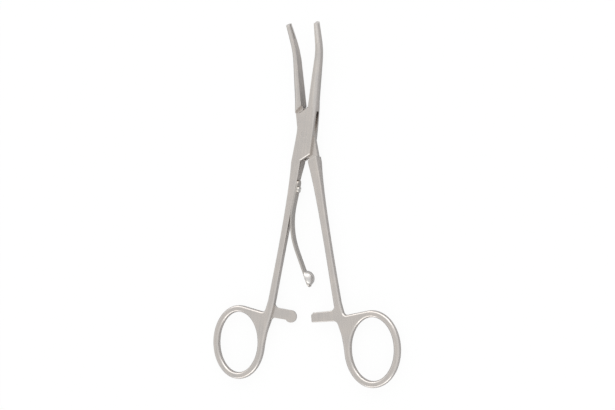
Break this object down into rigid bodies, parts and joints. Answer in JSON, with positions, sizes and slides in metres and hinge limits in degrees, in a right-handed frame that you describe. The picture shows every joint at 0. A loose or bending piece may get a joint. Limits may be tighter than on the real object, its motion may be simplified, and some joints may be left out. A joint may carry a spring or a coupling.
{
  "type": "clip applier forceps",
  "caption": "Ring-handled box-lock forceps with bent grooved jaws that hold a scalp clip, and an inner leaf spring with a domed button.",
  "frame": {"origin": "where the joint axis meets the back face of the box", "axes": "+Y towards the jaws along the middle line between the opened halves, +Z along the joint axis out of the front face, +X towards the jaw of the half with the box"},
  "size_m": [0.0888, 0.1564, 0.0108],
  "materials": {
    "box_half_steel": "satin ground forged stainless steel",
    "tongue_half_steel": "satin ground forged stainless steel",
    "pin_steel": "ground flush, satin",
    "spring_steel": "rolled strip, lengthwise grain",
    "screw_steel": "turned",
    "button_steel": "turned and polished dome"
  },
  "bodies": {
    "half with the box": {"box_half": "box_half_steel", "joint_pin": "pin_steel", "leaf_spring": "spring_steel", "spring_screw": "screw_steel"},
    "half with the tongue": {"tongue_half": "tongue_half_steel"},
    "spring end": {"rub_button": "button_steel"}
  },
  "joints": [
    {"name": "box lock", "type": "hinge", "parent": "half with the box", "child": "half with the tongue", "pos_m": [0, 0, 0.00295], "axis": [0, 0, 1], "range_deg": [-13.4, 0]},
    {"name": "spring bend", "type": "hinge", "parent": "half with the box", "child": "spring end", "pos_m": [-0.00631, -0.03972, 0.00295], "axis": [0, 0, 1], "range_deg": [-18, 0], "stiffness_Nm_per_rad": 0.3, "deforming": ["leaf_spring"]}
  ],
  "couplings": [
    {"joint": "spring bend", "follows": "box lock", "ratio": 1.34}
  ]
}
